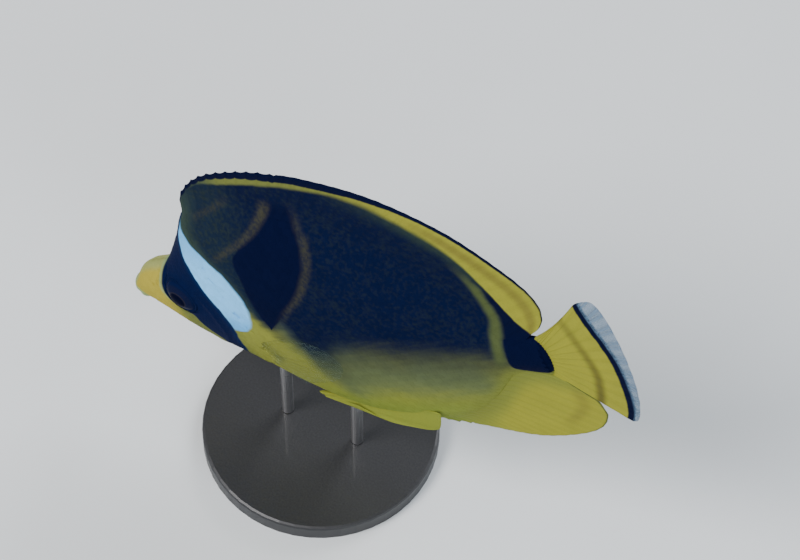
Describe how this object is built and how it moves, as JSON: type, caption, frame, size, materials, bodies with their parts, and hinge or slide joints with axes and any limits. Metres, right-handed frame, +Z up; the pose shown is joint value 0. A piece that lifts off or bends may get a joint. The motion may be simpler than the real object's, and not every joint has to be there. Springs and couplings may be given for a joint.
{
  "type": "butterflyfish",
  "caption": "Life-size still figure of a raccoon butterflyfish, nose down, held by two short rods on a round flat base.",
  "frame": {"origin": "centre of the bounding box at the underside of the stand's base", "axes": "+Z up; the snout points towards -X; the fish's left side faces -Y, and its middle plane is Y = 0"},
  "size_m": [0.1424, 0.064, 0.1244],
  "materials": {
    "mask": "satin",
    "flank": "satin",
    "stalk": "satin",
    "dorsal_fin": "satin",
    "yellow_fin": "satin",
    "clear_fin": "satin",
    "eye": "gloss",
    "stand_base": "satin",
    "stand_rod": "brushed"
  },
  "bodies": {
    "root": {"head": "mask", "torso": "flank", "tail_stalk": "stalk", "dorsal_fin": "dorsal_fin", "anal_fin": "yellow_fin", "caudal_fin": "yellow_fin", "pelvic_fin_left": "yellow_fin", "pelvic_fin_right": "yellow_fin", "pectoral_fin_left": "clear_fin", "pectoral_fin_right": "clear_fin", "eye_left": "eye", "eye_right": "eye", "stand_base": "stand_base", "stand_rod_front": "stand_rod", "stand_rod_rear": "stand_rod"}
  },
  "joints": []
}
